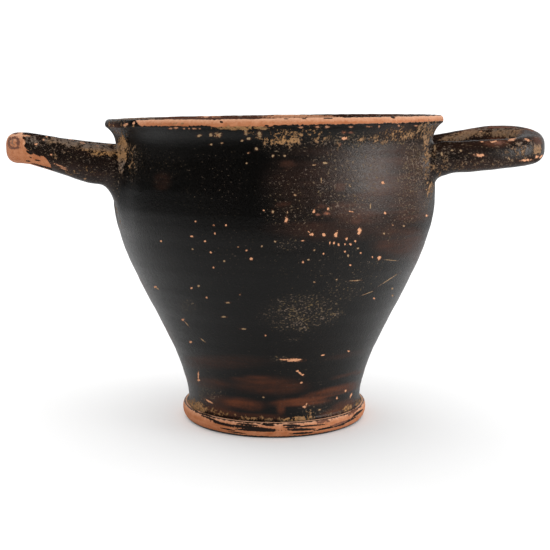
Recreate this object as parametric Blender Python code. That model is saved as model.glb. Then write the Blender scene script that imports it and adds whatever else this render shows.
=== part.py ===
"""Skyphos: a deep two-handled drinking cup of black-gloss pottery, fired as one piece.

Metres, +Z up. The origin is the centre of the foot's underside, on the cup's axis, and +X runs through the
handle on the right. The cup is turned from one outline, and the handles are swept and then united with it.
"""

import math

import bpy
from mathutils import Vector

# Cup: the outside
RIM_RADIUS = 0.0633
HEIGHT = 0.1151
RIM_SAG = 0.0020
RIM_SAG_HEADING = math.radians(15)
LIP_FACE = 0.0028
LIP_OVERHANG = 0.0038
FLARE_HEIGHT = 0.0068
NECK_HEIGHT = 0.0185
BELLY_SWELL = 0.0013

# Cup: the inside
WALL = 0.0037
FLOOR = 0.0055
FLOOR_BEND = 0.0140

# Foot
FOOT_RADIUS = 0.0356
FOOT_UNDERCUT = 0.0013
FOOT_HEIGHT = 0.0058
FOOT_LEDGE = 0.0025
FOOT_LEDGE_RISE = 0.0003
FOOT_RING_WIDTH = 0.0075
FOOT_RECESS = 0.0045

# Handles: the spacing of their legs, and their section
LEG_SPACING = 0.0450
ROOT_SPACING = 0.0420
BEND_DEPTH = 0.0260
TIP_THICKNESS = 0.0096
ROOT_THICKNESS = 0.0114
LUTING_FILLET = 0.0034
LUTING_LENGTH = 0.0080

# Handles: their reach past the lip, how far below the flare they lie, and the twist of their bend
LEFT_REACH = 0.0377
LEFT_TIP_DEPTH = 0.0110
LEFT_TIP_DROP = 0.0021
LEFT_ROOT_DEPTH = 0.0159
LEFT_ROOT_DROP = 0.0082
LEFT_TWIST = math.radians(-4.2)
RIGHT_REACH = 0.0386
RIGHT_TIP_DEPTH = 0.0105
RIGHT_TIP_DROP = 0.0012
RIGHT_ROOT_DEPTH = 0.0113
RIGHT_ROOT_DROP = 0.0043
RIGHT_TWIST = math.radians(6.6)
ROOT_TWIST_SHARE = 0.2

# How hard each curve holds to its end's direction, as a share of the stretch that it spans
ROUND_PULL = 0.56
LEG_PULL = 0.35
WALL_PULL = 0.32
WALL_LEAN = 0.04
NECK_PULL = 0.4
SAG_FROM = 0.6

# Facets
TURN_STEPS = 56
LEG_STEPS = 6
HANDLE_SIDES = 14

NECK_RADIUS = RIM_RADIUS - LIP_OVERHANG
BELLY_RADIUS = NECK_RADIUS + BELLY_SWELL
FOOT_BASE_RADIUS = FOOT_RADIUS - FOOT_UNDERCUT
WALL_FOOT_RADIUS = FOOT_RADIUS - FOOT_LEDGE
LIP_UNDERSIDE = HEIGHT - LIP_FACE
FLARE_BASE = LIP_UNDERSIDE - FLARE_HEIGHT
BELLY_LEVEL = FLARE_BASE - NECK_HEIGHT
LEDGE_LEVEL = FOOT_HEIGHT + FOOT_LEDGE_RISE
FLOOR_LEVEL = FOOT_RECESS + FLOOR


def clear_scene():
    for obj in list(bpy.data.objects):
        bpy.data.objects.remove(obj, do_unlink=True)


def glazed_clay():
    """Black gloss slip over fired clay."""
    material = bpy.data.materials.new("black_gloss_clay")
    material.use_nodes = True
    shader = material.node_tree.nodes["Principled BSDF"]
    shader.inputs["Base Color"].default_value = (0.016, 0.013, 0.011, 1.0)
    shader.inputs["Roughness"].default_value = 0.38
    shader.inputs["Metallic"].default_value = 0.0
    return material


def curve(start, pull_start, pull_end, end, steps):
    """Points along a cubic Bezier, without its start."""
    corners = [Vector(corner) for corner in (start, pull_start, pull_end, end)]
    points = []
    for step in range(1, steps + 1):
        t = step / steps
        weights = ((1 - t) ** 3, 3 * t * (1 - t) ** 2, 3 * t * t * (1 - t), t**3)
        points.append(sum((w * c for w, c in zip(weights, corners)), corners[0] * 0))
    return points


def foot_outline():
    """The underside from the axis out to the resting ring, then up the foot's rounded side to its ledge."""
    ring_inside = FOOT_BASE_RADIUS - FOOT_RING_WIDTH
    recess_edge = ring_inside - FOOT_RECESS / 3
    top_edge = FOOT_RADIUS - FOOT_LEDGE / 3
    bulge = (8 * FOOT_RADIUS - FOOT_BASE_RADIUS - top_edge) / 6
    outline = [Vector((0, FOOT_RECESS)), Vector((recess_edge * 0.5, FOOT_RECESS))]
    outline.append(Vector((recess_edge, FOOT_RECESS)))
    outline += curve(
        outline[-1],
        (ring_inside, FOOT_RECESS),
        (ring_inside, FOOT_RECESS / 2),
        (ring_inside, 0),
        3,
    )
    outline.append(Vector((FOOT_BASE_RADIUS, 0)))
    outline += curve(
        outline[-1],
        (bulge, FOOT_HEIGHT * 0.3),
        (bulge, FOOT_HEIGHT * 0.98),
        (top_edge, FOOT_HEIGHT),
        6,
    )
    return outline


def wall_outline():
    """The outside of the wall, from the foot's ledge by way of the belly to the top of the neck."""
    belly = (BELLY_RADIUS, BELLY_LEVEL)
    rise = BELLY_LEVEL - LEDGE_LEVEL
    swing = BELLY_RADIUS - WALL_FOOT_RADIUS
    outline = [Vector((WALL_FOOT_RADIUS, LEDGE_LEVEL))]
    outline += curve(
        outline[0],
        (WALL_FOOT_RADIUS + swing * WALL_LEAN, LEDGE_LEVEL + rise * WALL_PULL),
        (BELLY_RADIUS, BELLY_LEVEL - rise * WALL_PULL),
        belly,
        11,
    )
    outline += curve(
        belly,
        (BELLY_RADIUS, BELLY_LEVEL + NECK_HEIGHT * NECK_PULL),
        (NECK_RADIUS, FLARE_BASE - NECK_HEIGHT * NECK_PULL),
        (NECK_RADIUS, FLARE_BASE),
        4,
    )
    return outline


def lip_outline():
    """The flare out to the lip, its rounded edge, and the inside of the flare down to the neck."""
    edge = RIM_RADIUS - LIP_FACE * 0.1
    crown = RIM_RADIUS - LIP_FACE * 0.6
    inner_edge = RIM_RADIUS - WALL * 0.85
    outline = curve(
        (NECK_RADIUS, FLARE_BASE),
        (NECK_RADIUS, FLARE_BASE + FLARE_HEIGHT * ROUND_PULL),
        (edge - LIP_OVERHANG * 0.35, LIP_UNDERSIDE - FLARE_HEIGHT * 0.12),
        (edge, LIP_UNDERSIDE),
        5,
    )
    outline += curve(
        outline[-1],
        (RIM_RADIUS + LIP_FACE * 0.12, LIP_UNDERSIDE + LIP_FACE * 0.4),
        (RIM_RADIUS, HEIGHT),
        (crown, HEIGHT),
        5,
    )
    outline += curve(
        outline[-1],
        (crown - LIP_FACE * 0.3, HEIGHT),
        (inner_edge, HEIGHT - LIP_FACE * 0.1),
        (inner_edge, HEIGHT - LIP_FACE * 0.4),
        2,
    )
    outline += curve(
        outline[-1],
        (inner_edge - LIP_OVERHANG * 0.2, LIP_UNDERSIDE - LIP_FACE * 0.2),
        (NECK_RADIUS - WALL, FLARE_BASE + FLARE_HEIGHT * 0.7),
        (NECK_RADIUS - WALL, FLARE_BASE),
        4,
    )
    return outline


def set_in(outline, depth):
    """The outline moved square to itself towards the axis, by depth."""
    moved = []
    for index, point in enumerate(outline):
        along = outline[min(index + 1, len(outline) - 1)] - outline[max(index - 1, 0)]
        moved.append(point + Vector((-along.y, along.x)).normalized() * depth)
    return moved


def inside_outline():
    """The inside of the wall from the neck down, and the rounded bend into the floor."""
    wall = [
        point
        for point in set_in(wall_outline(), WALL)
        if point.y > FLOOR_LEVEL + FLOOR_BEND
    ]
    wall.reverse()
    last = wall[-1]
    heading = (last - wall[-2]).normalized()
    floor = curve(
        last,
        last + heading * FLOOR_BEND * ROUND_PULL,
        (last.x - FLOOR_BEND * (1 - ROUND_PULL), FLOOR_LEVEL),
        (last.x - FLOOR_BEND, FLOOR_LEVEL),
        5,
    )
    return wall[1:] + floor + [Vector((0, FLOOR_LEVEL))]


def eased(share):
    """A share held within 0 and 1, with a level start and end."""
    share = min(max(share, 0), 1)
    return share * share * (3 - 2 * share)


def between(ends, share):
    return ends[0] + (ends[1] - ends[0]) * share


def sag(x, y, height):
    """How far the rim has risen on the right, and sunk on the left, fading out down the wall."""
    along = x * math.cos(RIM_SAG_HEADING) + y * math.sin(RIM_SAG_HEADING)
    return RIM_SAG / 2 * along / RIM_RADIUS * eased((height / HEIGHT - SAG_FROM) / (1 - SAG_FROM))


def mesh_object(name, points, faces):
    mesh = bpy.data.meshes.new(name)
    mesh.from_pydata(points, [], faces)
    mesh.shade_smooth()
    obj = bpy.data.objects.new(name, mesh)
    bpy.context.scene.collection.objects.link(obj)
    return obj


def turned(name, outline):
    """A solid turned about Z from an outline of (radius, height) that starts and ends on the axis."""
    rings = outline[1:-1]
    points = [(0, 0, outline[0].y)]
    for radius, height in rings:
        for step in range(TURN_STEPS):
            angle = math.tau * step / TURN_STEPS
            x, y = radius * math.cos(angle), radius * math.sin(angle)
            points.append((x, y, height + sag(x, y, height)))
    points.append((0, 0, outline[-1].y))
    faces = []
    for step in range(TURN_STEPS):
        after = (step + 1) % TURN_STEPS
        faces.append((0, 1 + after, 1 + step))
        for ring in range(len(rings) - 1):
            low = 1 + ring * TURN_STEPS
            high = low + TURN_STEPS
            faces.append((low + step, low + after, high + after, high + step))
        last = 1 + (len(rings) - 1) * TURN_STEPS
        faces.append((last + step, last + after, len(points) - 1))
    return mesh_object(name, points, faces)


def handle(name, side, reach, depths, drops, twist):
    """A horizontal loop, swept round its bend with an oval section that swells where it is luted to the wall.

    depths and drops are (root, tip) pairs: the section's depth, and how far its middle is below the flare.
    """
    tip = RIM_RADIUS + reach - TIP_THICKNESS / 2
    bend = tip - BEND_DEPTH
    root_y, leg_y = ROOT_SPACING / 2, LEG_SPACING / 2
    wall = math.sqrt(NECK_RADIUS**2 - root_y**2)
    buried = root_y + ROOT_THICKNESS / 2 + LUTING_FILLET
    start = math.sqrt((NECK_RADIUS - WALL) ** 2 - buried**2)
    leg = [Vector((start, root_y)), Vector((wall - WALL / 2, root_y))]
    leg += curve(
        leg[-1],
        (wall + (bend - wall) * LEG_PULL, root_y),
        (bend - (bend - wall) * LEG_PULL, leg_y),
        (bend, leg_y),
        LEG_STEPS,
    )
    leg += curve(
        leg[-1],
        (bend + BEND_DEPTH * ROUND_PULL, leg_y),
        (tip, leg_y * ROUND_PULL),
        (tip, 0),
        LEG_STEPS,
    )
    plan = leg + [Vector((point.x, -point.y)) for point in reversed(leg[:-1])]

    points = []
    for index, place in enumerate(plan):
        along = plan[min(index + 1, len(plan) - 1)] - plan[max(index - 1, 0)]
        across = Vector((along.y, -along.x)).normalized()
        out = eased((place.x - wall) / (tip - wall))
        luting = LUTING_FILLET / 2 * min(max(1 - (place.x - wall) / LUTING_LENGTH, 0), 1) ** 2
        half_width = between((ROOT_THICKNESS, TIP_THICKNESS), out) / 2 + luting
        half_depth = between(depths, out) / 2 + luting
        level = FLARE_BASE - between(drops, out) - luting
        slope = math.sin(twist * between((ROOT_TWIST_SHARE, 1), out))
        for step in range(HANDLE_SIDES):
            angle = math.tau * step / HANDLE_SIDES
            x, y = place + across * half_width * math.cos(angle)
            points.append((side * x, y, level + y * slope + half_depth * math.sin(angle)))

    faces = []
    for index in range(len(plan) - 1):
        for step in range(HANDLE_SIDES):
            after = (step + 1) % HANDLE_SIDES
            low, high = index * HANDLE_SIDES, (index + 1) * HANDLE_SIDES
            faces.append((low + step, high + step, high + after, low + after))
    faces.append(tuple(range(HANDLE_SIDES)))
    faces.append(tuple(reversed(range(len(points) - HANDLE_SIDES, len(points)))))
    if side < 0:
        faces = [tuple(reversed(face)) for face in faces]
    return mesh_object(name, points, faces)


def boolean(obj, other, operation):
    """Cuts other from obj, or unites it with obj, and keeps the result as obj's own mesh."""
    modifier = obj.modifiers.new(operation.lower(), "BOOLEAN")
    modifier.operation = operation
    modifier.solver = "EXACT"
    modifier.object = other
    graph = bpy.context.evaluated_depsgraph_get()
    obj.data = bpy.data.meshes.new_from_object(obj.evaluated_get(graph))
    obj.modifiers.remove(modifier)


clear_scene()

outside = wall_outline()
skyphos = turned("skyphos", foot_outline() + outside + lip_outline() + inside_outline())

# The handles end inside the wall, halfway through it.
core_wall = set_in(outside, WALL / 2) + set_in(lip_outline()[:5], WALL / 2)
core = turned(
    "wall_core",
    [Vector((0, core_wall[0].y))] + core_wall + [Vector((0, core_wall[-1].y))],
)
left = handle(
    "left_handle",
    -1,
    LEFT_REACH,
    (LEFT_ROOT_DEPTH, LEFT_TIP_DEPTH),
    (LEFT_ROOT_DROP, LEFT_TIP_DROP),
    LEFT_TWIST,
)
right = handle(
    "right_handle",
    1,
    RIGHT_REACH,
    (RIGHT_ROOT_DEPTH, RIGHT_TIP_DEPTH),
    (RIGHT_ROOT_DROP, RIGHT_TIP_DROP),
    RIGHT_TWIST,
)
for loop in (left, right):
    boolean(loop, core, "DIFFERENCE")
    boolean(skyphos, loop, "UNION")
for helper in (core, left, right):
    bpy.data.objects.remove(helper, do_unlink=True)

skyphos.data.name = "skyphos"
skyphos.data.shade_smooth()
skyphos.data.set_sharp_from_angle(angle=math.radians(40))
skyphos.data.materials.clear()
skyphos.data.materials.append(glazed_clay())
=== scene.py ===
import math

import bpy
import numpy as np
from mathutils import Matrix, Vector, noise
from mathutils.bvhtree import BVHTree
from mathutils.kdtree import KDTree


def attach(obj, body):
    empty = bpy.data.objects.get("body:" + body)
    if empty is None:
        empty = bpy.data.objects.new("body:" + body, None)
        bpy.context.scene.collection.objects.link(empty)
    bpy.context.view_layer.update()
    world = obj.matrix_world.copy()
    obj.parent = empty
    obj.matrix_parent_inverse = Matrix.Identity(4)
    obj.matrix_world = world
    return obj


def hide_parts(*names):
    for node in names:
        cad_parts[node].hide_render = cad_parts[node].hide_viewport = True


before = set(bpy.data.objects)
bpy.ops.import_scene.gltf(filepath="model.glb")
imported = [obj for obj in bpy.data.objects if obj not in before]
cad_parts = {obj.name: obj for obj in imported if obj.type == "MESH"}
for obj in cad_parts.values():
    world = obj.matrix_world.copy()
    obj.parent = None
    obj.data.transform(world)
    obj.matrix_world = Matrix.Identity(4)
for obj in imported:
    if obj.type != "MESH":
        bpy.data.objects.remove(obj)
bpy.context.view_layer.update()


# Camera
#
# It stands where the photographer stood, level with the lip, and looks down at the cup a little. Pixels,
# counted from the picture's top left corner, place the marks that the photograph shows on the cup.

EYE = Vector((0.0003, -0.4164, 0.11687))
LOOK_DOWN = math.radians(8.5)
LENS = 71.42
SENSOR = 36
PICTURE = 550
NEAREST_SEEN = 0.01

camera = bpy.data.objects.new("camera", bpy.data.cameras.new("camera"))
camera.data.lens = LENS
camera.data.sensor_width = SENSOR
camera.data.clip_start = NEAREST_SEEN
camera.location = EYE
camera.rotation_euler = (math.radians(90) - LOOK_DOWN, 0, 0)
bpy.context.scene.collection.objects.link(camera)
bpy.context.scene.camera = camera

FORWARD = Vector((0, math.cos(LOOK_DOWN), -math.sin(LOOK_DOWN)))
UPWARD = Vector((0, math.sin(LOOK_DOWN), math.cos(LOOK_DOWN)))
FOCAL = LENS / SENSOR * PICTURE


def picture(points):
    """Where points show in the photograph: pixels across and down."""
    offset = np.asarray(points) - np.array(EYE)
    depth = offset @ np.array(FORWARD)
    across = PICTURE / 2 + FOCAL * offset[..., 0] / depth
    down = PICTURE / 2 - FOCAL * (offset @ np.array(UPWARD)) / depth
    return np.stack((across, down), axis=-1)


def sight(across, down):
    """The direction from the eye through a pixel."""
    return (
        FORWARD
        + Vector((1, 0, 0)) * (across - PICTURE / 2) / FOCAL
        - UPWARD * (down - PICTURE / 2) / FOCAL
    ).normalized()


# Cup
#
# The cup and its ring foot are thrown in one piece from fine orange clay, so one turned outline gives both.
# The wall is 3.7 mm thick and the bowl is empty. The rim sagged to the left as it dried.

RIM_RADIUS = 0.0633
HEIGHT = 0.1151
RIM_SAG = 0.0017
FAR_RISE = 0.0004
RIM_SAG_HEADING = math.radians(15)
SAG_FROM = 0.6
LIP_FACE = 0.0028
LIP_OVERHANG = 0.0038
LIP_EDGE_IN = 0.1
LIP_CROWN_IN = 0.6
LIP_INSIDE_IN = 0.85
LIP_INSIDE_DROP = 0.4
LIP_ROUNDING = 0.12
FLARE_HEIGHT = 0.0068
NECK_HEIGHT = 0.0185
BELLY_SWELL = 0.0013
WALL = 0.0037
FLOOR = 0.0055
FLOOR_BEND = 0.0140
FOOT_RADIUS = 0.0356
FOOT_UNDERCUT = 0.0013
FOOT_HEIGHT = 0.0058
FOOT_LEDGE = 0.0025
FOOT_LEDGE_RISE = 0.0003
FOOT_RING_WIDTH = 0.0075
FOOT_RECESS = 0.0045
FOOT_EASE = 0.0008
FOOT_BULGE_LOW = 0.3
FOOT_BULGE_HIGH = 0.98
ROUND_PULL = 0.56
WALL_PULL = 0.32
WALL_PULL_HIGH = 0.352
WALL_LEAN = 0.04
NECK_PULL = 0.4
TURN_STEPS = 320
FLARE_STEPS = 11

NECK_RADIUS = RIM_RADIUS - LIP_OVERHANG
BELLY_RADIUS = NECK_RADIUS + BELLY_SWELL
FOOT_BASE_RADIUS = FOOT_RADIUS - FOOT_UNDERCUT
WALL_FOOT_RADIUS = FOOT_RADIUS - FOOT_LEDGE
LIP_UNDERSIDE = HEIGHT - LIP_FACE
FLARE_BASE = LIP_UNDERSIDE - FLARE_HEIGHT
BELLY_LEVEL = FLARE_BASE - NECK_HEIGHT
LEDGE_LEVEL = FOOT_HEIGHT + FOOT_LEDGE_RISE
FLOOR_LEVEL = FOOT_RECESS + FLOOR


def curve(start, pull_start, pull_end, end, steps):
    """Points along a cubic Bezier, without its start."""
    t = np.linspace(0, 1, steps + 1)[1:, None]
    corners = [np.array(corner, float) for corner in (start, pull_start, pull_end, end)]
    weights = ((1 - t) ** 3, 3 * t * (1 - t) ** 2, 3 * t * t * (1 - t), t**3)
    return sum(weight * corner for weight, corner in zip(weights, corners))


def line(start, end, steps):
    """Evenly spaced points from start to end, without start."""
    t = np.linspace(0, 1, steps + 1)[1:, None]
    return np.array(start, float) * (1 - t) + np.array(end, float) * t


def foot_outline():
    """The underside from the axis out to the resting ring, then up the foot's rounded side to its ledge."""
    ring_inside = FOOT_BASE_RADIUS - FOOT_RING_WIDTH
    recess_edge = (ring_inside - FOOT_RECESS / 3, FOOT_RECESS)
    top_edge = FOOT_RADIUS - FOOT_LEDGE / 3
    bulge = (8 * FOOT_RADIUS - FOOT_BASE_RADIUS - top_edge) / 6
    ring = (ring_inside, 0)
    base = (FOOT_BASE_RADIUS - FOOT_EASE, 0)
    side = (FOOT_BASE_RADIUS + FOOT_EASE * 0.2, FOOT_EASE * 0.8)
    under_side = (FOOT_BASE_RADIUS - FOOT_EASE * 0.3, 0)
    low_side = (FOOT_BASE_RADIUS, FOOT_EASE * 0.4)
    bulge_low = (bulge, FOOT_HEIGHT * FOOT_BULGE_LOW)
    bulge_high = (bulge, FOOT_HEIGHT * FOOT_BULGE_HIGH)
    return np.concatenate((
        [(0, FOOT_RECESS)],
        line((0, FOOT_RECESS), recess_edge, 9),
        curve(recess_edge, (ring_inside, FOOT_RECESS), (ring_inside, FOOT_RECESS / 2), ring, 6),
        line(ring, base, 6),
        curve(base, under_side, low_side, side, 3),
        curve(side, bulge_low, bulge_high, (top_edge, FOOT_HEIGHT), 15),
        line((top_edge, FOOT_HEIGHT), (WALL_FOOT_RADIUS, LEDGE_LEVEL), 3),
    ))


def wall_outline(rise_steps, neck_steps):
    """The outside of the wall above the foot's ledge, by way of the belly to the top of the neck."""
    rise = BELLY_LEVEL - LEDGE_LEVEL
    swing = BELLY_RADIUS - WALL_FOOT_RADIUS
    return np.concatenate((
        curve(
            (WALL_FOOT_RADIUS, LEDGE_LEVEL),
            (WALL_FOOT_RADIUS + swing * WALL_LEAN, LEDGE_LEVEL + rise * WALL_PULL),
            (BELLY_RADIUS, BELLY_LEVEL - rise * WALL_PULL_HIGH),
            (BELLY_RADIUS, BELLY_LEVEL),
            rise_steps,
        ),
        curve(
            (BELLY_RADIUS, BELLY_LEVEL),
            (BELLY_RADIUS, BELLY_LEVEL + NECK_HEIGHT * NECK_PULL),
            (NECK_RADIUS, FLARE_BASE - NECK_HEIGHT * NECK_PULL),
            (NECK_RADIUS, FLARE_BASE),
            neck_steps,
        ),
    ))


def lip_outline():
    """The flare out to the lip, its rounded edge, and the inside of the flare down to the neck."""
    edge = (RIM_RADIUS - LIP_FACE * LIP_EDGE_IN, LIP_UNDERSIDE)
    crown = (RIM_RADIUS - LIP_FACE * LIP_CROWN_IN, HEIGHT)
    inner_edge = (RIM_RADIUS - WALL * LIP_INSIDE_IN, HEIGHT - LIP_FACE * LIP_INSIDE_DROP)
    throat = (NECK_RADIUS - WALL, FLARE_BASE)
    under_lip = (edge[0] - LIP_OVERHANG * 0.35, LIP_UNDERSIDE - FLARE_HEIGHT * 0.12)
    face = (RIM_RADIUS + LIP_FACE * LIP_ROUNDING, LIP_UNDERSIDE + LIP_FACE * 0.4)
    over_crown = (crown[0] - LIP_FACE * 0.3, HEIGHT)
    over_inside = (inner_edge[0], HEIGHT - LIP_FACE * 0.1)
    inside_flare = (inner_edge[0] - LIP_OVERHANG * 0.2, LIP_UNDERSIDE - LIP_FACE * 0.2)
    above_throat = (throat[0], FLARE_BASE + FLARE_HEIGHT * 0.7)
    neck = (NECK_RADIUS, FLARE_BASE)
    return np.concatenate((
        curve(neck, (NECK_RADIUS, FLARE_BASE + FLARE_HEIGHT * ROUND_PULL), under_lip, edge, FLARE_STEPS),
        curve(edge, face, (RIM_RADIUS, HEIGHT), crown, 11),
        curve(crown, over_crown, over_inside, inner_edge, 4),
        curve(inner_edge, inside_flare, above_throat, throat, 6),
    ))


def set_in(outline, depth):
    """The outline moved square to itself towards the axis, by depth."""
    along = np.gradient(outline, axis=0)
    across = np.stack((-along[:, 1], along[:, 0]), axis=1)
    return outline + across / np.linalg.norm(across, axis=1, keepdims=True) * depth


def inside_outline():
    """The inside of the wall from the neck down, and the rounded bend into the floor."""
    wall = set_in(wall_outline(26, 6), WALL)[::-1][1:]
    wall = wall[wall[:, 1] > FLOOR_LEVEL + FLOOR_BEND]
    last = wall[-1]
    heading = (last - wall[-2]) / np.linalg.norm(last - wall[-2])
    bend_end = (last[0] - FLOOR_BEND, FLOOR_LEVEL)
    pull = (last[0] - FLOOR_BEND * (1 - ROUND_PULL), FLOOR_LEVEL)
    return np.concatenate((
        wall,
        curve(last, last + heading * FLOOR_BEND * ROUND_PULL, pull, bend_end, 8),
        line(bend_end, (0, FLOOR_LEVEL), 8),
    ))


def eased(share):
    """A share held within 0 and 1, with a level start and end."""
    share = np.clip(share, 0, 1)
    return share * share * (3 - 2 * share)


def sag(x, y, height):
    """How far the rim rose on the right and at the back and sank on the left, fading out down the wall."""
    along = x * math.cos(RIM_SAG_HEADING) + y * math.sin(RIM_SAG_HEADING)
    rise = RIM_SAG / 2 * along / RIM_RADIUS + FAR_RISE * eased(y / RIM_RADIUS)
    return rise * eased((height / HEIGHT - SAG_FROM) / (1 - SAG_FROM))


def mesh_object(name, points, faces):
    mesh = bpy.data.meshes.new(name)
    mesh.from_pydata(points, [], faces)
    mesh.shade_smooth()
    obj = bpy.data.objects.new(name, mesh)
    bpy.context.scene.collection.objects.link(obj)
    return obj


def turned(name, outline, steps):
    """A solid turned about Z from an outline of (radius, height) that starts and ends on the axis."""
    angles = np.arange(steps) * math.tau / steps
    radius = outline[1:-1, :1]
    x = radius * np.cos(angles)
    y = radius * np.sin(angles)
    z = outline[1:-1, 1:] + sag(x, y, outline[1:-1, 1:])
    rings = np.stack((x, y, z), axis=-1).reshape(-1, 3)
    points = np.concatenate(([(0, 0, outline[0, 1])], rings, [(0, 0, outline[-1, 1])]))
    faces = []
    for step in range(steps):
        after = (step + 1) % steps
        faces.append((0, 1 + after, 1 + step))
        for low in range(1, len(points) - 1 - steps, steps):
            faces.append((low + step, low + after, low + steps + after, low + steps + step))
        last = len(points) - 1 - steps
        faces.append((last + step, last + after, len(points) - 1))
    return mesh_object(name, points.tolist(), faces)


outside = wall_outline(78, 17)
cup = turned("cup", np.concatenate((foot_outline(), outside, lip_outline(), inside_outline())), TURN_STEPS)


# Handles
#
# Two rolls of the same clay, each bent into a horizontal loop and luted to the wall under the lip. They are
# oval, deeper and thicker at the wall, and each loop has a twist of its own from the hand that bent it.

LEG_SPACING = 0.0450
ROOT_SPACING = 0.0420
BEND_DEPTH = 0.0260
TIP_THICKNESS = 0.0096
ROOT_THICKNESS = 0.0114
LUTING_FILLET = 0.0034
LUTING_LENGTH = 0.0080
ROOT_TWIST_SHARE = 0.2
LEG_PULL = 0.35
BEND_PULL = 0.70
TIP_SQUARENESS = 0.74
LEG_STEPS = 34
HANDLE_SIDES = 36
CORE_STEPS = 64
HANDLES = {
    "left": dict(
        side=-1,
        reach=0.0371,
        depths=(0.0151, 0.0110),
        drops=(0.0087, 0.0024),
        twist=math.radians(-4.2),
        heel=(0.0106, 0.0060),
    ),
    "right": dict(
        side=1,
        reach=0.0381,
        depths=(0.0113, 0.0101),
        drops=(0.0043, 0.0006),
        twist=math.radians(6.6),
        heel=(0.0036, 0.0110),
    ),
}


def between(ends, share):
    return ends[0] + (ends[1] - ends[0]) * share


def handle(name, side, reach, depths, drops, twist, heel):
    """A horizontal loop, swept round its bend with an oval section that swells where it is luted to the wall.

    depths and drops are (root, tip) pairs: the section's depth, and how far its middle is below the flare.
    heel says how far the clay pressed under each root runs down the wall, and how far out under the handle.
    """
    tip = RIM_RADIUS + reach - TIP_THICKNESS / 2
    bend = tip - BEND_DEPTH
    root_y = ROOT_SPACING / 2
    leg_y = LEG_SPACING / 2
    wall = math.sqrt(NECK_RADIUS**2 - root_y**2)
    buried = root_y + ROOT_THICKNESS / 2 + LUTING_FILLET
    start = math.sqrt((NECK_RADIUS - WALL) ** 2 - buried**2)
    root = (wall - WALL / 2, root_y)
    pull = (bend - wall) * LEG_PULL
    outer_pull = BEND_DEPTH * BEND_PULL
    leg = np.concatenate((
        [(start, root_y), root],
        curve(root, (wall + pull, root_y), (bend - pull, leg_y), (bend, leg_y), LEG_STEPS),
        curve((bend, leg_y), (bend + outer_pull, leg_y), (tip, leg_y * BEND_PULL), (tip, 0), LEG_STEPS),
    ))
    plan = np.concatenate((leg, leg[-2::-1] * (1, -1)))

    along = np.gradient(plan, axis=0)
    across = np.stack((along[:, 1], -along[:, 0]), axis=1)
    across /= np.linalg.norm(across, axis=1, keepdims=True)
    out = eased((plan[:, 0] - wall) / (tip - wall))
    luting = LUTING_FILLET / 2 * np.clip(1 - (plan[:, 0] - wall) / LUTING_LENGTH, 0, 1) ** 2
    half_width = between((ROOT_THICKNESS, TIP_THICKNESS), out) / 2 + luting
    half_depth = between(depths, out) / 2 + luting
    level = FLARE_BASE - between(drops, out) - luting
    slope = np.sin(twist * between((ROOT_TWIST_SHARE, 1), out))

    angles = np.arange(HANDLE_SIDES) * math.tau / HANDLE_SIDES
    power = between((1, TIP_SQUARENESS), out)[:, None]
    sideways = np.sign(np.cos(angles)) * np.abs(np.cos(angles)) ** power
    up = np.sign(np.sin(angles)) * np.abs(np.sin(angles)) ** power
    place = plan[:, None] + across[:, None] * (half_width[:, None] * sideways)[..., None]
    z = level[:, None] + place[..., 1] * slope[:, None] + half_depth[:, None] * up
    down_wall, along_leg = heel
    pressed = np.clip(1 - (plan[:, :1] - wall) / along_leg, 0, 1) ** 2
    z -= down_wall * pressed * np.clip(-np.sin(angles), 0, 1)
    points = np.stack((side * place[..., 0], place[..., 1], z), axis=-1).reshape(-1, 3)

    faces = [tuple(range(HANDLE_SIDES)), tuple(reversed(range(len(points) - HANDLE_SIDES, len(points))))]
    for low in range(0, len(points) - HANDLE_SIDES, HANDLE_SIDES):
        high = low + HANDLE_SIDES
        for step in range(HANDLE_SIDES):
            after = (step + 1) % HANDLE_SIDES
            faces.append((low + step, high + step, high + after, low + after))
    if side < 0:
        faces = [face[::-1] for face in faces]
    return mesh_object(name, points.tolist(), faces)


def boolean(obj, other, operation):
    """Cuts other from obj, or unites it with obj, and keeps the result as obj's own mesh."""
    modifier = obj.modifiers.new(operation.lower(), "BOOLEAN")
    modifier.operation = operation
    modifier.solver = "EXACT"
    modifier.object = other
    graph = bpy.context.evaluated_depsgraph_get()
    obj.data = bpy.data.meshes.new_from_object(obj.evaluated_get(graph))
    obj.modifiers.remove(modifier)
    bpy.data.objects.remove(other, do_unlink=True)


for name, shape in HANDLES.items():
    loop = handle(name + "_handle", **shape)
    core_wall = set_in(wall_outline(11, 4), WALL / 2)
    core_flare = set_in(lip_outline()[:FLARE_STEPS:2], WALL / 2)
    core_outline = np.concatenate(([(0, core_wall[0, 1])], core_wall, core_flare, [(0, core_flare[-1, 1])]))
    core = turned("wall_core", core_outline, CORE_STEPS)
    boolean(loop, core, "DIFFERENCE")
    boolean(cup, loop, "UNION")


# Luting
#
# The potter pressed a little wet clay round each root and smoothed it, so the joints are soft. The mesh near
# each joint is drawn together into that fillet.

SMOOTH_REACH_ABOVE = 0.0040
SMOOTH_REACH_BELOW = 0.0140
SMOOTH_CHANGE = 0.008
SMOOTH_PASSES = 60
SMOOTH_STEP = 0.6
JOINT_STANDS_OUT = 0.0002
ROOTS_BEYOND_X = 0.04
ROOTS_WITHIN_Y = 0.05


def read(items, name, width=1, kind=np.float32):
    """One value, or one row of them, for each item of the mesh."""
    values = np.empty(len(items) * width, kind)
    items.foreach_get(name, values)
    return values if width == 1 else values.reshape(-1, width)


mesh = cup.data
points = read(mesh.vertices, "co", 3).astype(float)
edges = read(mesh.edges, "vertices", 2, np.int32)
profile = np.concatenate((outside, lip_outline()[:FLARE_STEPS]))


def past_wall(points):
    """How far points stand out past the cup's own wall."""
    height = points[:, 2] - sag(points[:, 0], points[:, 1], points[:, 2])
    return np.hypot(points[:, 0], points[:, 1]) - np.interp(height, profile[:, 1], profile[:, 0])


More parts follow.
